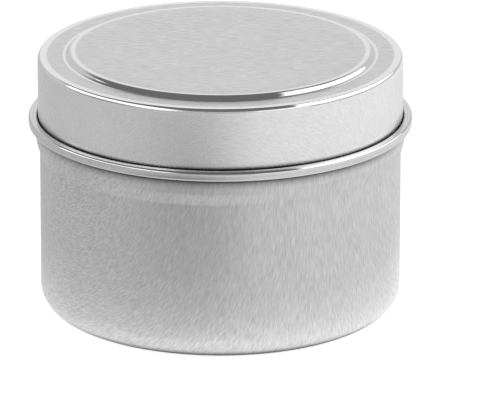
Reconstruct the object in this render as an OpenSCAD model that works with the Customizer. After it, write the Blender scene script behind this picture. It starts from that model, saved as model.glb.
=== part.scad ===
// Two-piece candle tin: a deep drawn body with a rolled mouth, and a lid that plugs into it.
// Millimetres, +Z up, origin at the middle of the base, on the surface the tin stands on.
// Both pieces are one bent sheet, so each is drawn as a run of straight strips and round
// bends around the middle of the sheet, and then turned about Z.

/* [Overall size] */
// Width across the rolled bead, the widest place on the tin
bead_d = 65; // [55:1:80]
// Height of the closed tin from the table to the lid's raised panel
closed_h = 45; // [40:1:70]
// Thickness of the tinplate
sheet = 0.25; // [0.2:0.05:0.3]

/* [Body] */
// Height from the table to the middle of the rolled bead
bead_z = 33.05; // [20:0.05:35]
// Thickness of the rolled bead around the mouth, measured outwards
bead_w = 1.5; // [1.3:0.1:2]
// Height of the rolled bead
bead_h = 1.6; // [1.4:0.1:2]
// Outside radius of the bead's corners
bead_r = 0.45; // [0.35:0.05:0.6]
// Height of the wide straight mouth below the middle of the bead
mouth_h = 3.05; // [2:0.05:5]
// Length of the cone between the mouth and the wall, measured along its slope
cone_run = 1.75; // [1.5:0.05:2.5]
// Outside radius of the rounded edge of the base
base_r = 4; // [2:0.5:6]
// Width of the flat ring the tin stands on
foot_w = 2; // [1:0.5:5]
// How far the middle of the base is pressed up above that ring
base_rise = 0.6; // [0.4:0.1:1.2]

/* [Lid] */
// Gap between the lid's skirt and the mouth of the body, on each side
lid_gap = 0.1; // [0.05:0.05:0.15]
// Outside radius of the sharp bend where the lid's top turns down
rim_r = 0.35; // [0.35:0.05:0.6]
// Outside radius of the easier bend that follows it into the skirt
shoulder_r = 1.15; // [0.8:0.05:2]
// Width of the flat ring between the lid's top edge and the slope of its panel
ring_w = 4; // [2:0.1:8]
// How far the lid's middle panel stands up above that ring
panel_rise = 0.7; // [0.4:0.1:1.2]
// Thickness of the hem rolled inwards along the bottom of the lid's skirt
hem_d = 1.2; // [1.1:0.1:1.3]

/* [Hidden] */
$fn = 180;

half = sheet / 2;
reach = 12;

// Body, measured at the middle of the sheet unless it says outside or inside.
mouth_x = bead_d / 2 - bead_w + half;
bead_bend = bead_r - half;
bead_in = mouth_x + bead_bend;
bead_out = bead_d / 2 - bead_r;
bead_top = bead_z + bead_h / 2 - bead_r;
bead_foot = bead_z - bead_h / 2 + bead_r;

// The cone leans out by 7 for every 24 of height, so its slope is [0.28, 0.96].
lean = [0.28, 0.96];
cone_r = 8 * sheet;
wall_step = 0.28 * cone_run + 0.08 * cone_r;
wall_x = mouth_x - wall_step;
step_top = bead_z - mouth_h;
cone_top_x = mouth_x - 0.04 * cone_r;
cone_top = step_top - 0.28 * cone_r;
cone_bottom_x = wall_x + 0.04 * cone_r;
cone_bottom = cone_top - 0.96 * cone_run;
step_bottom = cone_bottom - 0.28 * cone_r;

corner_x = wall_x + half - base_r;
foot_x = corner_x - foot_w;
base_panel_x = foot_x - 2 * base_rise;

// Lid.
skirt_out = mouth_x - half - lid_gap;
skirt_x = skirt_out - half;
ring_z = closed_h - panel_rise - half;

// The top edge turns by the angle whose cosine is 0.6, and the shoulder turns the rest.
rim_bend = rim_r - half;
shoulder_bend = shoulder_r - half;
rim_x = skirt_x - 0.8 * rim_bend - 0.2 * shoulder_bend;
shoulder_x = skirt_x - shoulder_bend;
shoulder_z = ring_z - 0.4 * rim_bend - 0.6 * shoulder_bend;
panel_foot_x = rim_x - ring_w;
panel_x = panel_foot_x - 2 * panel_rise;
hem_mid = (hem_d - sheet) / 2;
hem_x = skirt_x - hem_mid;

// The hem sits against the inside of the cone, 0.06 clear of it.
seat_gap = hem_d / 2 + 0.06;
seat_x = cone_bottom_x - 0.96 * half;
seat_z = cone_bottom + 0.28 * half;
hem_z = ceil(100 * (seat_z + (seat_gap + 0.96 * (hem_x - seat_x)) / 0.28)) / 100;

// A flat run of sheet lying level, from radius x0 out to x1, with its middle at height z.
module level(x0, x1, z) {
    translate([x0, z - half])
        square([x1 - x0, sheet]);
}

// An upright run of sheet at radius x, from height z0 up to z1.
module upright(x, z0, z1) {
    translate([x - half, z0])
        square([sheet, z1 - z0]);
}

// A leaning run of sheet of length run, which starts at radius x and height z.
module leaning(x, z, run) {
    across = [lean[1] * half, -lean[0] * half];
    translate([x, z])
        polygon([across, run * lean + across, run * lean - across, -across]);
}

// The slice of the plane between directions u and v, seen from the origin.
module slice(u, v) {
    polygon([[0, 0], reach * u, reach * (u + v), reach * v]);
}

// A full turn of sheet around a centre, with its middle at radius r.
module ring(r) {
    difference() {
        circle(r + half);
        circle(r - half);
    }
}

// A bend of radius r about the point (x, z), from direction u round to direction v.
module bend(x, z, r, u, v) {
    translate([x, z])
        intersection() {
            ring(r);
            slice(u, v);
        }
}

// A rolled edge about the point (x, z), open between directions u and v.
module curl(x, z, r, u, v) {
    translate([x, z])
        difference() {
            ring(r);
            slice(u, v);
        }
}

// The pressed step up to a middle panel: it starts at radius x and height z, and rises inwards.
// Each bend turns by the angle whose sine is 0.8, so the step is twice as wide as it is high.
module panel_step(x, z, rise) {
    r = 1.25 * rise;
    bend(x, z + r, r, [0, -1], [-0.8, -0.6]);
    bend(x - 2 * rise, z + rise - r, r, [0.8, 0.6], [0, 1]);
}

// Drawn cup: pressed-up base, rounded base edge, straight wall, cone, wide mouth, rolled bead.
module tin_body() {
    color([0.70, 0.70, 0.71])
        rotate_extrude()
            union() {
                level(0, base_panel_x, half + base_rise);
                panel_step(foot_x, half, base_rise);
                level(foot_x, corner_x, half);
                bend(corner_x, base_r, base_r - half, [0, -1], [1, 0]);
                upright(wall_x, base_r, step_bottom);
                bend(wall_x + cone_r, step_bottom, cone_r, [-1, 0], [-0.96, 0.28]);
                leaning(cone_bottom_x, cone_bottom, cone_run);
                bend(mouth_x - cone_r, step_top, cone_r, [0.96, -0.28], [1, 0]);
                upright(mouth_x, step_top, bead_top);
                bend(bead_in, bead_top, bead_bend, [-1, 0], [0, 1]);
                level(bead_in, bead_out, bead_z + bead_h / 2 - half);
                bend(bead_out, bead_top, bead_bend, [0, 1], [1, 0]);
                upright(bead_d / 2 - half, bead_foot, bead_top);
                bend(bead_out, bead_foot, bead_bend, [1, 0], [0, -1]);
                level(bead_in, bead_out, bead_z - bead_h / 2 + half);
            }
}

// Drawn lid: raised panel, flat ring, rounded top edge, straight skirt, hem rolled inwards.
module lid() {
    color([0.78, 0.78, 0.79])
        rotate_extrude()
            union() {
                level(0, panel_x, ring_z + panel_rise);
                panel_step(panel_foot_x, ring_z, panel_rise);
                level(panel_foot_x, rim_x, ring_z);
                bend(rim_x, ring_z - rim_bend, rim_bend, [0, 1], [0.8, 0.6]);
                bend(shoulder_x, shoulder_z, shoulder_bend, [0.8, 0.6], [1, 0]);
                upright(skirt_x, hem_z, shoulder_z);
                curl(hem_x, hem_z, hem_mid, [1, 0], [cos(70), sin(70)]);
            }
}

tin_body();
lid();
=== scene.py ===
# %% [markdown]
# # A candle tin, pressed from two discs of tinplate
#
# The tin is an empty container for a poured candle: a seamless cup with a bead rolled round its
# mouth, and a lid that plugs into the mouth. Each half starts as one flat disc of thin sheet, is
# drawn to its shape in a press, and has its edge rolled over. This lesson makes both halves the
# way the press does: one line for the sheet, bent in section, turned once round, then given its
# thickness.
#
# The frame is loaded first. It holds the plain working model, and every size that the working
# model already has is read from it, so the fine pieces land exactly where the plain ones are.

# %% The frame
import math
import bpy
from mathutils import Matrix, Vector


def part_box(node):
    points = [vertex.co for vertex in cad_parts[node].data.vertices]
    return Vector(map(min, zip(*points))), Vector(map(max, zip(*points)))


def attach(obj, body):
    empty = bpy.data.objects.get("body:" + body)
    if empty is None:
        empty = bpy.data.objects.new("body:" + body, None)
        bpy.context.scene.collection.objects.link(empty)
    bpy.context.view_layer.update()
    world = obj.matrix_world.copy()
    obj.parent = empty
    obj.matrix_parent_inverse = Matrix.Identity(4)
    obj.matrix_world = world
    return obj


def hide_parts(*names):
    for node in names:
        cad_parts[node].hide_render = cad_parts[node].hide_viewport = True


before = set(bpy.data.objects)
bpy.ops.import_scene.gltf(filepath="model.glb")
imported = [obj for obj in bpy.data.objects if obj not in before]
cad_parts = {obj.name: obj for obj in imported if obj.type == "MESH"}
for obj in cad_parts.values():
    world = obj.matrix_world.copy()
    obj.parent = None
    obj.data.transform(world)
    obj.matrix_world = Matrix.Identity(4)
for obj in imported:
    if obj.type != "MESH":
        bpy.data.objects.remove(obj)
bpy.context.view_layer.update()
bpy.ops.object.select_all(action="DESELECT")

# %% [markdown]
# ## Sizes
#
# Only what the frame can't say is written here: the thickness of the sheet, and the bends. The
# widths and heights come from the two plain halves. Everything is in metres, and MM turns a
# size in millimetres into metres.

# %% The sheet, and the two plain halves
MM = 0.001
SHEET = 0.25 * MM
HALF = SHEET / 2
cup_low, cup_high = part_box("tin_body")
lid_low, lid_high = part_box("lid")
print("the cup is", round((cup_high.z - cup_low.z) / MM, 2), "mm high")
print("the lid runs from", round(lid_low.z / MM, 2), "to", round(lid_high.z / MM, 2), "mm up")

# %% [markdown]
# ## Bending a line of sheet
#
# A section is drawn as a tinsmith reads it: straight runs and round bends, one after the other,
# along the middle of the sheet. A single point is the start. Extruding it draws a straight run,
# and spinning it about a centre draws a round bend, so every bend is a true arc that leaves the
# run it grows from without a kink. The last point drawn is always the one that is selected.

# %% Starting a line
def start_line(name, radius, height):
    """A new piece that is one selected point, in edit mode."""
    bpy.ops.object.select_all(action="DESELECT")
    bpy.ops.mesh.primitive_plane_add(size=SHEET, location=(0, 0, 0))
    piece = bpy.context.active_object
    piece.name = name
    piece.data.name = name
    bpy.ops.object.mode_set(mode="EDIT")
    bpy.ops.mesh.select_all(action="SELECT")
    bpy.ops.mesh.merge(type="CENTER")
    bpy.ops.mesh.select_mode(type="VERT")
    bpy.ops.mesh.select_all(action="SELECT")
    bpy.ops.transform.translate(value=(radius, 0, height))
    print(name, "starts", round(radius / MM, 2), "mm out and", round(height / MM, 2), "mm up")
    return piece


# %% Runs and bends
def run(outwards, upwards, steps=1):
    """A straight run from the selected point, in equal steps."""
    for _ in range(steps):
        bpy.ops.mesh.extrude_region_move(
            TRANSFORM_OT_translate={"value": (outwards / steps, 0, upwards / steps)}
        )


def bend(centre_out, centre_up, degrees, steps):
    """A round bend about a centre in the section. Positive degrees turn clockwise in it."""
    bpy.ops.mesh.spin(
        steps=steps,
        angle=-math.radians(degrees),
        center=(centre_out, 0, centre_up),
        axis=(0, 1, 0),
    )


# %% [markdown]
# ## Reading the drawn line back
#
# Rolled tinplate has a straight grain, and the grain stays in the metal while the press draws
# it. On the base and the lid's panel it runs straight across. On a wall it stands upright where
# the grain pointed outwards on the disc, lies level a quarter turn away, and slants in between.
# The natural UV map for a drawn piece is therefore the disc that it was cut from: a point's
# distance from the middle of the disc is the radius of a circle with the same area as the skin
# inside that point. The map has no seam, and a straight grain drawn on it bends over the walls
# as the real one does.
#
# The tools also rub the sheet wherever they bend it sharply, which polishes it. So the line is
# read back from the mesh, point by point from the middle outwards, and gives two things: the
# radius on the disc, and how sharp the bend is.

# %% The points of the line, in order
TOUCHING = 1e-6


def section_of(mesh):
    """The points of the drawn line, from the middle of the piece outwards."""
    on_line = {v.index for v in mesh.vertices if abs(v.co.y) < TOUCHING and v.co.x > -TOUCHING}
    neighbours = {index: [] for index in on_line}
    for edge in mesh.edges:
        a, b = edge.vertices
        if a in on_line and b in on_line:
            neighbours[a].append(b)
            neighbours[b].append(a)
    here, before, points = min(on_line, key=lambda i: mesh.vertices[i].co.x), None, []
    while here is not None:
        points.append(mesh.vertices[here].co.copy())
        ahead = [n for n in neighbours[here] if n != before]
        before, here = here, (ahead[0] if ahead else None)
    return points


# %% Radius on the disc
def disc_radii(points):
    """For each point, the radius of a circle with the same area as the skin inside the point."""
    area, radii = 0.0, []
    for before, point in zip(points[:1] + points, points):
        area += math.pi * (before.x + point.x) * (point - before).length
        radii.append(math.sqrt(area / math.pi))
    return radii


# %% Sharpness of the bends
BURNISH_REACH = 0.15 * MM


def sharpness_of(points):
    """How sharp the bend is at each point: 1 on a bend of 1 mm radius, 2 on one of 0.5 mm."""
    turns = [0.0]
    for before, point, after in zip(points, points[1:], points[2:]):
        arriving, leaving = point - before, after - point
        turns.append(arriving.angle(leaving) / min(arriving.length, leaving.length) * MM)
    turns.append(0.0)
    return [
        max(turn for near, turn in zip(points, turns) if (near - point).length < BURNISH_REACH)
        for point in points
    ]


# %% [markdown]
# ## Writing the disc on the piece
#
# Every point of the skin takes its radius and sharpness from the point of the line that it was
# turned from. Each disc lay on its strip at its own angle, so the grain of the lid and of the
# cup need not line up: grain_angle says how far each is turned.

# %% Laying the disc out
DISC_UV = "disc"
BEND = "bend"
SAME_PLACE_DIGITS = 6
disc_size = {}
grain_angle = {}


def lay_out_disc(piece):
    """Writes the disc as a UV map, whose V runs along the grain, and the bends as an attribute."""
    mesh = piece.data
    points = section_of(mesh)
    radii, sharpness = disc_radii(points), sharpness_of(points)
    disc_size[piece.name] = 2 * max(radii)
    turn = math.radians(grain_angle[piece.name])
    layer = mesh.uv_layers.new(name=DISC_UV)
    bent = mesh.attributes.new(name=BEND, type="FLOAT", domain="POINT")
    nearest, spots = {}, {}
    for vertex in mesh.vertices:
        outwards = math.hypot(vertex.co.x, vertex.co.y)
        place = (round(outwards, SAME_PLACE_DIGITS), round(vertex.co.z, SAME_PLACE_DIGITS))
        if place not in nearest:
            distances = [math.dist(place, point.xz) for point in points]
            nearest[place] = distances.index(min(distances))
        radius = radii[nearest[place]] / disc_size[piece.name]
        angle = math.atan2(vertex.co.y, vertex.co.x) - turn
        spots[vertex.index] = (0.5 - radius * math.sin(angle), 0.5 + radius * math.cos(angle))
        bent.data[vertex.index].value = sharpness[nearest[place]]
    for loop in mesh.loops:
        layer.data[loop.index].uv = spots[loop.vertex_index]
    print(piece.name, "is drawn from a disc", round(disc_size[piece.name] / MM, 1), "mm across")


# %% [markdown]
# ## From a line to a piece of sheet
#
# Spinning the finished line once round the tin's axis makes the whole skin. Its ends meet, so
# doubles are merged before the normals are set. Only then does Solidify give the skin its
# thickness, half on each side, as real sheet has.

# %% Turning the line and thickening the skin
TURN_STEPS = 240
DOUBLES = 0.002 * MM
SMOOTH_UP_TO = math.radians(40)


def turn_and_thicken(piece):
    """Spins the line once round Z, closes it, and gives the sheet its thickness."""
    bpy.ops.mesh.select_all(action="SELECT")
    bpy.ops.mesh.spin(steps=TURN_STEPS, angle=2 * math.pi, center=(0, 0, 0), axis=(0, 0, 1))
    bpy.ops.mesh.select_all(action="SELECT")
    bpy.ops.mesh.remove_doubles(threshold=DOUBLES)
    bpy.ops.mesh.select_all(action="SELECT")
    bpy.ops.mesh.normals_make_consistent(inside=False)
    bpy.ops.object.mode_set(mode="OBJECT")
    lay_out_disc(piece)
    solidify = piece.modifiers.new("sheet", "SOLIDIFY")
    solidify.thickness = SHEET
    solidify.offset = 0
    solidify.use_even_offset = True
    solidify.use_quality_normals = True
    bpy.ops.object.modifier_apply(modifier=solidify.name)
    bpy.ops.object.shade_smooth_by_angle(angle=SMOOTH_UP_TO)
    lows = [min(v.co[i] for v in piece.data.vertices) / MM for i in range(3)]
    highs = [max(v.co[i] for v in piece.data.vertices) / MM for i in range(3)]
    print(piece.name, [round(v, 3) for v in lows], [round(v, 3) for v in highs], "mm,",
          len(piece.data.polygons), "faces")


# %% [markdown]
# ## The cup
#
# From the middle of the base outwards: the pressed-up panel, the step down to the flat ring that
# the tin stands on, the round base edge, the straight wall, the short cone out to the wider mouth,
# and the bead, where the last of the sheet is rolled outwards and down until it all but touches
# the wall again. The bead's four corners are tight and its sides are flat. The cone is there so
# that the lid has something to rest on. It leans out by 7 for every 24 of height.
#
# A step between two levels is two equal bends that turn against each other. STEEP is the slope
# where they meet: the long angle of a 3-4-5 triangle, whose sides are exact. It fixes how large
# each bend is and how wide the step is, for each millimetre that the step is high.

# %% The cup's sizes
STEEP_OUT, STEEP_UP = 4 / 5, 3 / 5
STEEP = math.degrees(math.atan2(STEEP_OUT, STEEP_UP))
STEP_BEND = 1 / (2 * (1 - STEEP_UP))
STEP_WIDTH = 2 * STEEP_OUT * STEP_BEND
BEAD_WIDTH = 1.5 * MM
BEAD_HEIGHT = 1.6 * MM
BEAD_ROUND = 0.45 * MM
MOUTH_HEIGHT = 3.05 * MM
CONE_RUN = 1.75 * MM
CONE_BEND = 2 * MM
LEAN_OUT, LEAN_UP = 7 / 25, 24 / 25
LEAN = math.degrees(math.atan2(LEAN_OUT, LEAN_UP))
BASE_ROUND = 4 * MM
FOOT_WIDTH = 2 * MM
BASE_RISE = 0.6 * MM
print("the cone leans out", round(LEAN, 2), "degrees, and a step", round(STEEP, 2))

# %% Where the cup's bends are
mouth_radius = cup_high.x - BEAD_WIDTH + HALF
bead_inner = mouth_radius + BEAD_ROUND - HALF
bead_outer = cup_high.x - BEAD_ROUND
bead_shoulder = cup_high.z - BEAD_ROUND
bead_face = BEAD_HEIGHT - 2 * BEAD_ROUND
wall_radius = mouth_radius - LEAN_OUT * CONE_RUN - 2 * (1 - LEAN_UP) * CONE_BEND
cone_top = cup_high.z - BEAD_HEIGHT / 2 - MOUTH_HEIGHT
cone_bottom = cone_top - LEAN_UP * CONE_RUN - 2 * LEAN_OUT * CONE_BEND
corner_radius = wall_radius + HALF - BASE_ROUND
foot_radius = corner_radius - FOOT_WIDTH
base_bend = STEP_BEND * BASE_RISE
base_panel = foot_radius - STEP_WIDTH * BASE_RISE
print("the middle of the wall's sheet is", round(wall_radius / MM, 3), "mm out")
print("the middle of the mouth's sheet is", round(mouth_radius / MM, 3), "mm out")

# %% Drawing the cup
grain_angle["candle_tin_body"] = -60
cup = start_line("candle_tin_body", 0, HALF + BASE_RISE)
run(base_panel, 0, 8)
bend(base_panel, HALF + BASE_RISE - base_bend, STEEP, 5)
bend(foot_radius, HALF + base_bend, -STEEP, 5)
run(FOOT_WIDTH, 0, 2)
bend(corner_radius, BASE_ROUND, -90, 12)
run(0, cone_bottom - BASE_ROUND, 10)
bend(wall_radius + CONE_BEND, cone_bottom, LEAN, 5)
run(LEAN_OUT * CONE_RUN, LEAN_UP * CONE_RUN, 2)
bend(mouth_radius - CONE_BEND, cone_top, -LEAN, 5)
run(0, bead_shoulder - cone_top, 14)
bend(bead_inner, bead_shoulder, 90, 8)
run(bead_outer - bead_inner, 0, 2)
bend(bead_outer, bead_shoulder, 90, 10)
run(0, -bead_face, 2)
bend(bead_outer, bead_shoulder - bead_face, 90, 10)
run(bead_inner - bead_outer, 0, 2)
turn_and_thicken(cup)

# %% [markdown]
# ## The lid
#
# The lid is drawn the same way, from the middle of its raised panel: the step down to the flat
# ring, the edge, the straight skirt, and the hem rolled inwards at its foot, which makes the cut
# edge safe and springs the skirt against the mouth. The edge has two bends: a tight one where
# the flat ring ends, and a wider shoulder that runs down into the skirt.

# %% The lid's sizes
RIM_ROUND = 0.35 * MM
SHOULDER_ROUND = 1.15 * MM
RING_WIDTH = 4 * MM
PANEL_RISE = 0.7 * MM
HEM_TUBE = 1.2 * MM
HEM_TURN = 290
print("the hem is rolled", HEM_TURN, "degrees round")

# %% Where the lid's bends are
skirt_radius = lid_high.x - HALF
ring_height = lid_high.z - PANEL_RISE - HALF
rim_bend = RIM_ROUND - HALF
shoulder_bend = SHOULDER_ROUND - HALF
rim_radius = skirt_radius - STEEP_OUT * rim_bend - (1 - STEEP_OUT) * shoulder_bend
shoulder_height = ring_height - (1 - STEEP_UP) * rim_bend - STEEP_UP * shoulder_bend
panel_foot = rim_radius - RING_WIDTH
panel_bend = STEP_BEND * PANEL_RISE
panel_radius = panel_foot - STEP_WIDTH * PANEL_RISE
hem_radius = skirt_radius - (HEM_TUBE - SHEET) / 2
hem_height = lid_low.z + HEM_TUBE / 2
print("the lid's panel is", round(2 * panel_radius / MM, 2), "mm across its flat")

# %% Drawing the lid
grain_angle["candle_tin_lid"] = 4
lid = start_line("candle_tin_lid", 0, ring_height + PANEL_RISE)
run(panel_radius, 0, 8)
bend(panel_radius, ring_height + PANEL_RISE - panel_bend, STEEP, 6)
bend(panel_foot, ring_height + panel_bend, -STEEP, 6)
run(RING_WIDTH, 0, 3)
bend(rim_radius, ring_height - rim_bend, STEEP, 6)
bend(skirt_radius - shoulder_bend, shoulder_height, 90 - STEEP, 8)
run(0, hem_height - shoulder_height, 28)
bend(hem_radius, hem_height, HEM_TURN, 24)
turn_and_thicken(lid)

# %% [markdown]
# ## Whose place they take
#
# Each fine piece rides on its own body and takes the place of its plain half. The lid's body
# slides straight up, so the lid goes with it.

# %% Riding on the bodies
for piece, body, plain in ((cup, "tin", "tin_body"), (lid, "lid", "lid")):
    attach(piece, body)
    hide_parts(plain)
    print(piece.name, "rides on", body)

# %% [markdown]
# ## Node helpers
#
# The finishes, the floor and the room all need sums, mixes and changes of range. A few short
# helpers keep the node trees readable. Each one adds a node and gives back its output.

# %% Links and sums
def wire(tree, source, target):
    tree.links.new(source, target)


def arithmetic(tree, operation, *values):
    node = tree.nodes.new("ShaderNodeMath")
    node.operation = operation
    for number, value in enumerate(values):
        if isinstance(value, (int, float)):
            node.inputs[number].default_value = value
        else:
            wire(tree, value, node.inputs[number])
    return node.outputs[0]


def product(tree, *values):
    result = values[0]
    for value in values[1:]:
        result = arithmetic(tree, "MULTIPLY", result, value)
    return result


# %% Ranges and mixes
def remap(tree, value, from_low, from_high, to_low, to_high):
    node = tree.nodes.new("ShaderNodeMapRange")
    node.inputs["From Min"].default_value = from_low
    node.inputs["From Max"].default_value = from_high
    node.inputs["To Min"].default_value = to_low
    node.inputs["To Max"].default_value = to_high
    wire(tree, value, node.inputs["Value"])
    return node.outputs["Result"]


def mix_to(tree, first, second, factor):
    """The linked value first, moved towards the number or colour second by the linked factor."""
    node = tree.nodes.new("ShaderNodeMix")
    node.data_type = "FLOAT" if isinstance(second, float) else "RGBA"
    node.inputs["B"].default_value = second
    wire(tree, first, node.inputs["A"])
    wire(tree, factor, node.inputs["Factor"])
    return node.outputs["Result"]


# %% [markdown]
# ## The rolled grain
#
# Tinplate is steel with a very thin coat of tin. It is not a mirror: rolling leaves a fine
# straight grain, the tin lies a little cloudy, and the press leaves faint scuffs. All three are
# noise, read on the disc in millimetres. A streak is noise that is drawn out along the grain.
#
# Both halves wear this, each with its own fineness, so it is one node group.

# %% Sizes of the grain
GRAIN_ROUGHNESS = 0.6
FINE = {"across": 1.0, "along": 1.0, "detail": 3}
COARSE = {"across": 0.3, "along": 0.35, "detail": 2}
SCUFF = {"across": 0.55, "along": 0.22, "detail": 1}
FINE_SHARE, COARSE_SHARE = 0.8, 0.2
SCUFF_FROM, SCUFF_TO = 0.66, 0.78
CLOUD_SCALE, CLOUD_DETAIL, CLOUD_ROUGHNESS = 0.14, 4, 0.55
grain_group = bpy.data.node_groups.new("rolled tinplate", "ShaderNodeTree")

# %% Sockets of the grain group
grain_group.interface.new_socket(name="Disc UV", in_out="INPUT", socket_type="NodeSocketVector")
for name in ("Disc width in mm", "Grain across per mm", "Grain along per mm", "Seed"):
    grain_group.interface.new_socket(name=name, in_out="INPUT", socket_type="NodeSocketFloat")
for name in ("Grain", "Clouds", "Scuffs"):
    grain_group.interface.new_socket(name=name, in_out="OUTPUT", socket_type="NodeSocketFloat")
enter = grain_group.nodes.new("NodeGroupInput")
leave = grain_group.nodes.new("NodeGroupOutput")

in_mm = grain_group.nodes.new("ShaderNodeVectorMath")
in_mm.operation = "SCALE"
wire(grain_group, enter.outputs["Disc UV"], in_mm.inputs[0])
wire(grain_group, enter.outputs["Disc width in mm"], in_mm.inputs["Scale"])
on_disc = grain_group.nodes.new("ShaderNodeSeparateXYZ")
wire(grain_group, in_mm.outputs[0], on_disc.inputs[0])
print("the grain group has", len(grain_group.interface.items_tree), "sockets")


# %% Streaks
def streaks(size):
    """Noise drawn out along the grain."""
    spot = grain_group.nodes.new("ShaderNodeCombineXYZ")
    across = product(grain_group, enter.outputs["Grain across per mm"], size["across"])
    along = product(grain_group, enter.outputs["Grain along per mm"], size["along"])
    wire(grain_group, product(grain_group, on_disc.outputs["X"], across), spot.inputs["X"])
    wire(grain_group, product(grain_group, on_disc.outputs["Y"], along), spot.inputs["Y"])
    wire(grain_group, enter.outputs["Seed"], spot.inputs["Z"])
    noise = grain_group.nodes.new("ShaderNodeTexNoise")
    noise.inputs["Scale"].default_value = 1
    noise.inputs["Detail"].default_value = size["detail"]
    noise.inputs["Roughness"].default_value = GRAIN_ROUGHNESS
    wire(grain_group, spot.outputs[0], noise.inputs["Vector"])
    return noise.outputs["Fac"]


fine_part = product(grain_group, streaks(FINE), FINE_SHARE)
coarse_part = product(grain_group, streaks(COARSE), COARSE_SHARE)
wire(grain_group, arithmetic(grain_group, "ADD", fine_part, coarse_part), leave.inputs["Grain"])
scuffs = remap(grain_group, streaks(SCUFF), SCUFF_FROM, SCUFF_TO, 0, 1)
wire(grain_group, scuffs, leave.inputs["Scuffs"])

# %% Clouds
clouds = grain_group.nodes.new("ShaderNodeTexNoise")
clouds.noise_dimensions = "4D"
clouds.inputs["Scale"].default_value = CLOUD_SCALE
clouds.inputs["Detail"].default_value = CLOUD_DETAIL
clouds.inputs["Roughness"].default_value = CLOUD_ROUGHNESS
wire(grain_group, in_mm.outputs[0], clouds.inputs["Vector"])
wire(grain_group, enter.outputs["Seed"], clouds.inputs["W"])
wire(grain_group, clouds.outputs["Fac"], leave.inputs["Clouds"])
print("the grain group has", len(grain_group.nodes), "nodes")

# %% [markdown]
# ## Polished bends and painted corner shade
#
# Two things change the satin from place to place. Where the sheet is bent to a radius of about
# 1 mm or less, the tools have rubbed the grain away, and the bend shines: this gives the bead,
# the lid's edge and the step round its panel their clean light and dark lines. The bend
# attribute says where.
#
# In the tight corners above and below the bead, the colour is darkened almost to black: painted
# shade, standing in for the light that hardly reaches there. An ambient occlusion node measures
# how closed in a point is, so the corners lose the painted shade by themselves when the lid is
# lifted. The cup measures only itself, because its corner is under its own bead. The lid measures
# the cup too, because its corner is where its skirt enters the mouth. The painted shade is for
# the eye only, and reflections leave it out.

# %% Polished bends
BURNISH_FROM, BURNISH_TO = 0.9, 1.1


def polished_bends(tree):
    """1 on a sharp bend, 0 on flat sheet and on wide bends."""
    bent = tree.nodes.new("ShaderNodeAttribute")
    bent.attribute_name = BEND
    return remap(tree, bent.outputs["Fac"], BURNISH_FROM, BURNISH_TO, 0, 1)


# %% Painted corner shade
CORNER_REACH = 2 * MM
CORNER_SAMPLES = 16


def painted_corner_shade(tree, burnish, itself_only, closed, clear):
    """Painted shade, 1 deep in a corner and 0 on open sheet. A polished bend gets none."""
    light_in = tree.nodes.new("ShaderNodeAmbientOcclusion")
    light_in.samples = CORNER_SAMPLES
    light_in.only_local = itself_only
    light_in.inputs["Distance"].default_value = CORNER_REACH
    shade = remap(tree, light_in.outputs["AO"], closed, clear, 1, 0)
    ray = tree.nodes.new("ShaderNodeLightPath")
    return product(tree, shade, remap(tree, burnish, 0, 1, 1, 0), ray.outputs["Is Camera Ray"])


# %% [markdown]
# ## Colour, gloss and relief of the sheet
#
# The grain and the clouds move the colour between two greys, and the roughness with it. A rubbed
# bend takes an even grey close to the lighter one, and is nearly a mirror. The grain is also a
# very shallow relief.
#
# A straight grain scatters light across itself much more than along itself, which is what makes
# a brushed surface look brushed. So the shader is anisotropic, with its tangent taken from the
# disc's UV map, whose U runs across the grain.

# %% Colour
TONE_FROM, TONE_TO = 0.4, 0.6
RUBBED_TONE = 0.7
# Near black: the painted shade in the corners.
PAINTED_SHADE_COLOUR = (0.03, 0.03, 0.03, 1)


def sheet_colour(tree, blend, burnish, corner, light, dark):
    tone = mix_to(tree, remap(tree, blend, TONE_FROM, TONE_TO, 0, 1), RUBBED_TONE, burnish)
    greys = tree.nodes.new("ShaderNodeMix")
    greys.data_type = "RGBA"
    greys.inputs["A"].default_value = (*dark, 1)
    greys.inputs["B"].default_value = (*light, 1)
    wire(tree, tone, greys.inputs["Factor"])
    # Painted shade: the colour goes towards near black in the corners.
    return mix_to(tree, greys.outputs["Result"], PAINTED_SHADE_COLOUR, corner)


# %% Gloss
DULL_FROM, DULL_TO = 0.36, 0.64
ROUGHNESS_SWING = 0.04
SCUFF_DULLING = 0.08
BURNISHED = 0.07


def sheet_roughness(tree, blend, scuff, burnish, roughness):
    dullest, glossiest = roughness + ROUGHNESS_SWING, roughness - ROUGHNESS_SWING
    dull = remap(tree, blend, DULL_FROM, DULL_TO, dullest, glossiest)
    scuffed = arithmetic(tree, "ADD", dull, product(tree, scuff, SCUFF_DULLING))
    return mix_to(tree, scuffed, BURNISHED, burnish)


# %% Relief and the run of the grain
GRAIN_DEPTH = 0.004 * MM
GRAIN_STRENGTH, BURNISHED_STRENGTH = 0.5, 0.05


def sheet_relief(tree, grain, burnish):
    bump = tree.nodes.new("ShaderNodeBump")
    bump.inputs["Distance"].default_value = GRAIN_DEPTH
    strength = remap(tree, burnish, 0, 1, GRAIN_STRENGTH, BURNISHED_STRENGTH)
    wire(tree, strength, bump.inputs["Strength"])
    wire(tree, grain, bump.inputs["Height"])
    return bump.outputs["Normal"]


def across_the_grain(tree):
    across = tree.nodes.new("ShaderNodeTangent")
    across.direction_type = "UV_MAP"
    across.uv_map = DISC_UV
    return across.outputs["Tangent"]


# %% [markdown]
# ## The two finishes
#
# Both halves are the same sheet. The cup's greys are set darker than the lid's, a painted shade
# so that its wall reads darker, and the cup is a little rougher. Each finish is put together from
# the parts above.

# %% Satin tinplate
BRUSHING = 0.6
LENGTH_TO_WIDTH = 10
GRAIN_SHARE, CLOUD_SHARE = 0.9, 0.1


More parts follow.
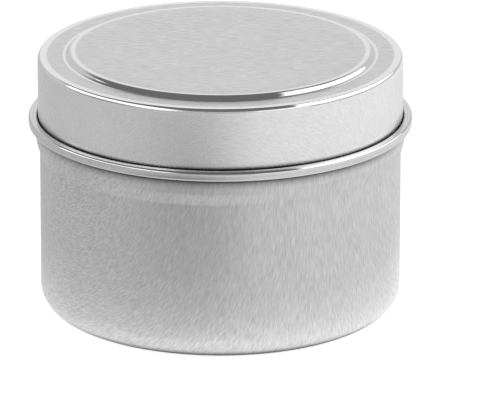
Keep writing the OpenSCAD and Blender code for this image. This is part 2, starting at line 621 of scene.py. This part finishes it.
def grain_on(tree, piece, seed, fineness):
    """The grain group, set for one piece."""
    uv = tree.nodes.new("ShaderNodeUVMap")
    uv.uv_map = DISC_UV
    grain = tree.nodes.new("ShaderNodeGroup")
    grain.node_tree = grain_group
    wire(tree, uv.outputs["UV"], grain.inputs["Disc UV"])
    grain.inputs["Disc width in mm"].default_value = disc_size[piece.name] / MM
    grain.inputs["Seed"].default_value = seed
    grain.inputs["Grain across per mm"].default_value = fineness
    grain.inputs["Grain along per mm"].default_value = fineness / LENGTH_TO_WIDTH
    return grain.outputs


def satin_tinplate(name, piece, light, dark, roughness, seed, fineness, itself_only,
                   closed, clear):
    """Satin tinplate with polished bends and painted corner shade, put on one piece."""
    material = bpy.data.materials.new(name)
    material.use_nodes = True
    tree = material.node_tree
    shader = tree.nodes["Principled BSDF"]
    shader.inputs["Metallic"].default_value = 1.0
    shader.inputs["Anisotropic"].default_value = BRUSHING
    grain = grain_on(tree, piece, seed, fineness)
    blend = arithmetic(tree, "ADD", product(tree, grain["Grain"], GRAIN_SHARE),
                       product(tree, grain["Clouds"], CLOUD_SHARE))
    burnish = polished_bends(tree)
    # Painted shade in the tight corners, for the eye only.
    corner = painted_corner_shade(tree, burnish, itself_only, closed, clear)
    colour = sheet_colour(tree, blend, burnish, corner, light, dark)
    gloss = sheet_roughness(tree, blend, grain["Scuffs"], burnish, roughness)
    wire(tree, colour, shader.inputs["Base Color"])
    wire(tree, gloss, shader.inputs["Roughness"])
    wire(tree, sheet_relief(tree, grain["Grain"], burnish), shader.inputs["Normal"])
    wire(tree, across_the_grain(tree), shader.inputs["Tangent"])
    piece.data.materials.clear()
    piece.data.materials.append(material)
    print(name, "on", piece.name)


# %% The cup's finish and the lid's
# The cup's darker greys are painted shade on the same sheet as the lid.
satin_tinplate("satin tinplate, cup", cup, light=(0.71, 0.71, 0.715), dark=(0.50, 0.50, 0.505),
               roughness=0.36, seed=3, fineness=7, itself_only=True, closed=0.71, clear=0.97)
satin_tinplate("satin tinplate, lid", lid, light=(0.79, 0.79, 0.795), dark=(0.73, 0.73, 0.735),
               roughness=0.28, seed=11, fineness=5, itself_only=False, closed=0.56, clear=0.73)

# %% [markdown]
# ## The floor
#
# The tin stands on white paper. Seen from a little above, an upright wall mirrors the
# paper in front of it, out to about three times the height of the point that mirrors it. So the
# shade that a wall shows is the shade of the paper in front of it, and the paper is given a
# painted glow for it, seen only in reflections: brighter at the right, brighter close to the tin,
# darker in one soft patch in front, and dark under the tin itself, where the glow is cut away,
# which draws the thin dark line along the base. This glow is painted light and painted shade,
# not lit by any lamp. The paper glows evenly for the camera, so none of this shows as a stain on
# it.

# %% The sheet of paper
PAPER_RADIUS = 4
PAPER_CORNERS = 96
PAPER_GREY = (0.5, 0.5, 0.5, 1)
PAPER_ROUGHNESS = 0.9
bpy.ops.object.select_all(action="DESELECT")
bpy.ops.mesh.primitive_circle_add(
    vertices=PAPER_CORNERS, radius=PAPER_RADIUS, fill_type="NGON", location=(0, 0, 0)
)
floor = bpy.context.active_object
floor.name = "floor"
paper = bpy.data.materials.new("white paper")
paper.use_nodes = True
floor.data.materials.append(paper)
glow_tree = paper.node_tree
paper_shader = glow_tree.nodes["Principled BSDF"]
paper_shader.inputs["Base Color"].default_value = PAPER_GREY
paper_shader.inputs["Roughness"].default_value = PAPER_ROUGHNESS
paper_shader.inputs["Emission Color"].default_value = (1, 1, 1, 1)
print("the paper is", 2 * PAPER_RADIUS, "m across")

# %% Distances on the paper
on_paper = glow_tree.nodes.new("ShaderNodeTexCoord")


def distance_from(spot):
    node = glow_tree.nodes.new("ShaderNodeVectorMath")
    node.operation = "DISTANCE"
    node.inputs[1].default_value = spot
    wire(glow_tree, on_paper.outputs["Object"], node.inputs[0])
    return node.outputs["Value"]


# %% How brightly the paper glows
LEFT_EDGE, RIGHT_EDGE = -0.12, 0.14
GLOW_LEFT, GLOW_RIGHT = 0.25, 0.64
SHADY_PATCH, PATCH_CORE, PATCH_EDGE = (-0.036, -0.1, 0), 0.02, 0.07
GLOW_NEAR, NEAR_FROM, NEAR_TO = 0.42, 0.034, 0.058
COVERED_FROM, COVERED_TO = 0.0284, 0.0298
GLOW_SEEN = 0.86

# The glow below is painted light and painted shade, seen only in reflections.
sides = glow_tree.nodes.new("ShaderNodeSeparateXYZ")
wire(glow_tree, on_paper.outputs["Object"], sides.inputs[0])
across_paper = remap(glow_tree, sides.outputs["X"], LEFT_EDGE, RIGHT_EDGE, GLOW_LEFT, GLOW_RIGHT)
patch = remap(glow_tree, distance_from(SHADY_PATCH), PATCH_CORE, PATCH_EDGE, 0, 1)
from_axis = distance_from((0, 0, 0))
near = remap(glow_tree, from_axis, NEAR_FROM, NEAR_TO, GLOW_NEAR, 0)
covered = remap(glow_tree, from_axis, COVERED_FROM, COVERED_TO, 0, 1)
glow = arithmetic(glow_tree, "ADD", product(glow_tree, across_paper, patch), near)
glow = product(glow_tree, glow, covered)
ray = glow_tree.nodes.new("ShaderNodeLightPath")
glow = mix_to(glow_tree, glow, GLOW_SEEN, ray.outputs["Is Camera Ray"])
wire(glow_tree, glow, paper_shader.inputs["Emission Strength"])
print("the paper glows from", GLOW_LEFT, "at the left to", GLOW_RIGHT, "at the right")

# %% [markdown]
# ## The soft boxes
#
# A wide soft box at the right and a lower, longer one at the left give the bead and the lid's
# edge their white lines.

# %% Two soft boxes
AIM = Vector((0, 0, 0.03))
BOX_DISTANCE = 0.8


def soft_light(name, azimuth, elevation, width, height, power):
    """A soft box that faces the tin. Azimuth 0 is in front of the tin, and 90 is at its right."""
    light = bpy.data.lights.new(name, "AREA")
    light.shape = "RECTANGLE"
    light.size = width
    light.size_y = height
    light.energy = power
    a, e = math.radians(azimuth), math.radians(elevation)
    towards = Vector((math.sin(a) * math.cos(e), -math.cos(a) * math.cos(e), math.sin(e)))
    lamp = bpy.data.objects.new(name, light)
    bpy.context.scene.collection.objects.link(lamp)
    lamp.location = AIM + towards * BOX_DISTANCE
    lamp.rotation_euler = towards.to_track_quat("Z", "Y").to_euler()
    lamp.visible_camera = False
    print(name, "is", width, "by", height, "m")


soft_light("right soft box", azimuth=102, elevation=33, width=1.15, height=0.55, power=2)
soft_light("left soft box", azimuth=-71, elevation=29.5, width=1.26, height=0.38, power=2.2)

# %% [markdown]
# ## The room
#
# Bare metal looks like what it mirrors, so the room matters as much as the lights. Four parts
# are enough. The ceiling and most of the front are dark, which draws the dark lines on the step
# round the panel and on the tight bends. A bright backdrop stands low behind the tin, and the
# lid's flat top mirrors it. A window at the right whitens the right-hand side of the panel's
# step. A low bright band in front, stronger towards the right, gives the top of the bead and the
# foot of the lid's edge their thin light lines.
#
# The world's direction says which way a ray leaves: X to the right, Y to the back, Z up. Each
# edge below is a span of that direction over which a part of the room fades in or out.

# %% Directions in the room
ROOM_DARK, BACKDROP, WINDOW = 0.17, 0.95, 1.4
BAND_MIDDLE, BAND_RIGHT = 0.75, 1.5
world = bpy.data.worlds.new("studio")
bpy.context.scene.world = world
world.use_nodes = True
sky = world.node_tree
background = sky.nodes["Background"]
background.inputs["Color"].default_value = (1, 1, 1, 1)
direction = sky.nodes.new("ShaderNodeTexCoord")
parts = sky.nodes.new("ShaderNodeSeparateXYZ")
wire(sky, direction.outputs["Generated"], parts.inputs[0])
to_right, to_back, to_top = parts.outputs["X"], parts.outputs["Y"], parts.outputs["Z"]
print("the dark of the room is", ROOM_DARK, "and the backdrop", BACKDROP)


def rising(value, low, high):
    return remap(sky, value, low, high, 0, 1)


def falling(value, low, high):
    return remap(sky, value, low, high, 1, 0)


# %% The backdrop
BACKDROP_BEHIND, BACKDROP_TOP = (-0.1, 0.35), (0.48, 0.62)
BACKDROP_MIDDLE, BACKDROP_SIDES = (0.08, 0.3), 0.66
off_middle = arithmetic(sky, "ABSOLUTE", to_right)
backdrop = product(sky, rising(to_back, *BACKDROP_BEHIND), falling(to_top, *BACKDROP_TOP),
                   remap(sky, off_middle, *BACKDROP_MIDDLE, 1, BACKDROP_SIDES))
room = remap(sky, backdrop, 0, 1, ROOM_DARK, BACKDROP)
print("the backdrop falls to", round(BACKDROP_SIDES * BACKDROP, 2), "at its sides")

# %% The window
WINDOW_SLANT, SLANT_ENDS = 0.47, 0.3
WINDOW_EDGE, WINDOW_FOOT, WINDOW_BACK = (0.39, 0.45), (0.15, 0.3), (0.45, 0.6)
slant = product(sky, arithmetic(sky, "MINIMUM", to_back, SLANT_ENDS), WINDOW_SLANT)
sideways = arithmetic(sky, "ADD", to_right, slant)
window = product(sky, rising(sideways, *WINDOW_EDGE), rising(to_top, *WINDOW_FOOT),
                 falling(to_back, *WINDOW_BACK), WINDOW)
print("the window's brightness is", WINDOW)

# %% The low band in front
BAND_FOOT, BAND_TOP = (0.05, 0.12), (0.37, 0.45)
BAND_FRONT, BAND_BRIGHTENS = (-0.6, -0.45), (0.28, 0.4)
band = product(sky, rising(to_top, *BAND_FOOT), falling(to_top, *BAND_TOP),
               falling(to_back, *BAND_FRONT),
               remap(sky, to_right, *BAND_BRIGHTENS, BAND_MIDDLE, BAND_RIGHT))
room = arithmetic(sky, "MAXIMUM", room, band)
room = arithmetic(sky, "MAXIMUM", room, window)
wire(sky, room, background.inputs["Strength"])
bpy.context.scene.view_settings.view_transform = "Standard"
print("the room has", len(sky.nodes), "nodes")

# %% [markdown]
# ## The camera
#
# A long lens from a little above, so that the lid's panel shows as a narrow ellipse and the
# walls stay nearly upright.

# %% The camera
CAMERA_DISTANCE = 1.15
CAMERA_ELEVATION = math.radians(18.56)
LOOK_AT = Vector((0, 0, 0.022))
SENSOR_WIDTH, FOCAL_LENGTH = 36, 487.5
SHIFT_ACROSS, SHIFT_UP = 0.0592, -0.0436
FARTHEST_SEEN = 20
lens = bpy.data.cameras.new("camera")
lens.sensor_width = SENSOR_WIDTH
lens.lens = FOCAL_LENGTH
lens.shift_x = SHIFT_ACROSS
lens.shift_y = SHIFT_UP
lens.clip_end = FARTHEST_SEEN
camera = bpy.data.objects.new("camera", lens)
bpy.context.scene.collection.objects.link(camera)
back = Vector((0, -math.cos(CAMERA_ELEVATION), math.sin(CAMERA_ELEVATION)))
camera.location = LOOK_AT + back * CAMERA_DISTANCE
camera.rotation_euler = back.to_track_quat("Z", "Y").to_euler()
bpy.context.scene.camera = camera
print("the camera stands at", [round(v, 3) for v in camera.location])
